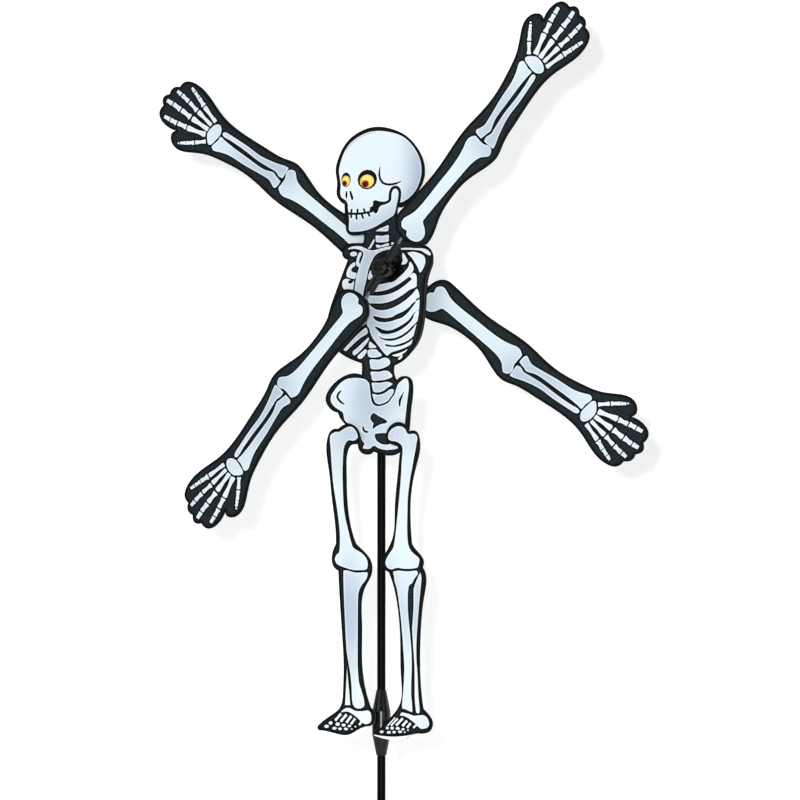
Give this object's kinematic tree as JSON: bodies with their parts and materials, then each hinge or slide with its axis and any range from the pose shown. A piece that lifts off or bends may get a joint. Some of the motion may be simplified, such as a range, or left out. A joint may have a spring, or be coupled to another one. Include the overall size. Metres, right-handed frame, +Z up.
{
  "type": "skeleton garden whirligig",
  "caption": "Flat cartoon skeleton wind spinner on a two-piece black pole, with two counter-turning propellers for arms, swinging legs and a figure that yaws to the wind.",
  "frame": {"origin": "on the pole's axis, where the lower rod's straight wall starts above its ground point", "axes": "+Z up along the pole, the figure faces -Y, +X to the viewer's right"},
  "size_m": [0.4058, 0.0502, 0.8698],
  "materials": {
    "printed_polyester": "black-dyed woven polyester, printed with icy white bones",
    "foam_sheet": "thin stiff foam sheet core",
    "pocket_webbing": "black sewn sleeve",
    "grey_fibreglass": "pultruded rod, satin",
    "black_fibreglass": "pultruded rod, semi-gloss",
    "steel": "turned steel",
    "white_nylon": "moulded nylon",
    "hip_nylon": "thin moulded nylon tag pin",
    "cap_plastic": "moulded, dark",
    "black_plastic": "moulded, satin"
  },
  "bodies": {
    "ground_pole": {"lower_rod": "black_fibreglass"},
    "upper_pole": {"upper_rod": "black_fibreglass", "pole_coupler": "black_plastic", "pivot_button": "white_nylon"},
    "figure": {"hub_housing": "black_plastic", "propeller_shaft": "steel", "front_end_cap": "cap_plastic", "rear_end_cap": "cap_plastic", "front_washers": "steel", "rear_washers": "steel", "body_front_print": "printed_polyester", "body_core": "foam_sheet", "body_back_print": "printed_polyester", "torso_back_core": "foam_sheet", "torso_back_print": "printed_polyester", "pelvis_guide": "black_plastic", "left_hip_pin": "hip_nylon", "right_hip_pin": "hip_nylon", "hip_spacers": "hip_nylon", "hip_retainers": "hip_nylon"},
    "front_arms": {"front_hub": "black_plastic", "front_hub_bush": "white_nylon", "front_raised_arm_spar": "grey_fibreglass", "front_raised_arm_spar_pocket": "pocket_webbing", "front_raised_arm_back_print": "printed_polyester", "front_raised_arm_core": "foam_sheet", "front_raised_arm_front_print": "printed_polyester", "front_lowered_arm_spar": "grey_fibreglass", "front_lowered_arm_spar_pocket": "pocket_webbing", "front_lowered_arm_back_print": "printed_polyester", "front_lowered_arm_core": "foam_sheet", "front_lowered_arm_front_print": "printed_polyester"},
    "back_arms": {"back_hub": "black_plastic", "back_hub_bush": "white_nylon", "back_raised_arm_spar": "grey_fibreglass", "back_raised_arm_spar_pocket": "pocket_webbing", "back_raised_arm_back_print": "printed_polyester", "back_raised_arm_core": "foam_sheet", "back_raised_arm_front_print": "printed_polyester", "back_lowered_arm_spar": "grey_fibreglass", "back_lowered_arm_spar_pocket": "pocket_webbing", "back_lowered_arm_back_print": "printed_polyester", "back_lowered_arm_core": "foam_sheet", "back_lowered_arm_front_print": "printed_polyester"},
    "left_leg": {"left_leg_front_print": "printed_polyester", "left_leg_core": "foam_sheet", "left_leg_back_print": "printed_polyester"},
    "right_leg": {"right_leg_front_print": "printed_polyester", "right_leg_core": "foam_sheet", "right_leg_back_print": "printed_polyester"}
  },
  "joints": [
    {"name": "pole_pull_apart", "type": "slide", "parent": "ground_pole", "child": "upper_pole", "axis": [0, 0, 1], "range_m": [0, 0.023]},
    {"name": "figure_yaw", "type": "hinge", "parent": "upper_pole", "child": "figure", "pos_m": [0, 0, 0.67], "axis": [0, 0, 1], "continuous": true},
    {"name": "front_arms_spin", "type": "hinge", "parent": "figure", "child": "front_arms", "pos_m": [0.0092, -0.01526, 0.67], "axis": [0, 1, 0], "continuous": true},
    {"name": "back_arms_spin", "type": "hinge", "parent": "figure", "child": "back_arms", "pos_m": [0.0092, 0.01526, 0.67], "axis": [0, 1, 0], "continuous": true},
    {"name": "left_leg_swing", "type": "hinge", "parent": "figure", "child": "left_leg", "pos_m": [-0.018, -0.0102, 0.545], "axis": [0, 1, 0], "range_deg": [-35, 35]},
    {"name": "right_leg_swing", "type": "hinge", "parent": "figure", "child": "right_leg", "pos_m": [0.0163, -0.0082, 0.546], "axis": [0, 1, 0], "range_deg": [-35, 35]}
  ]
}
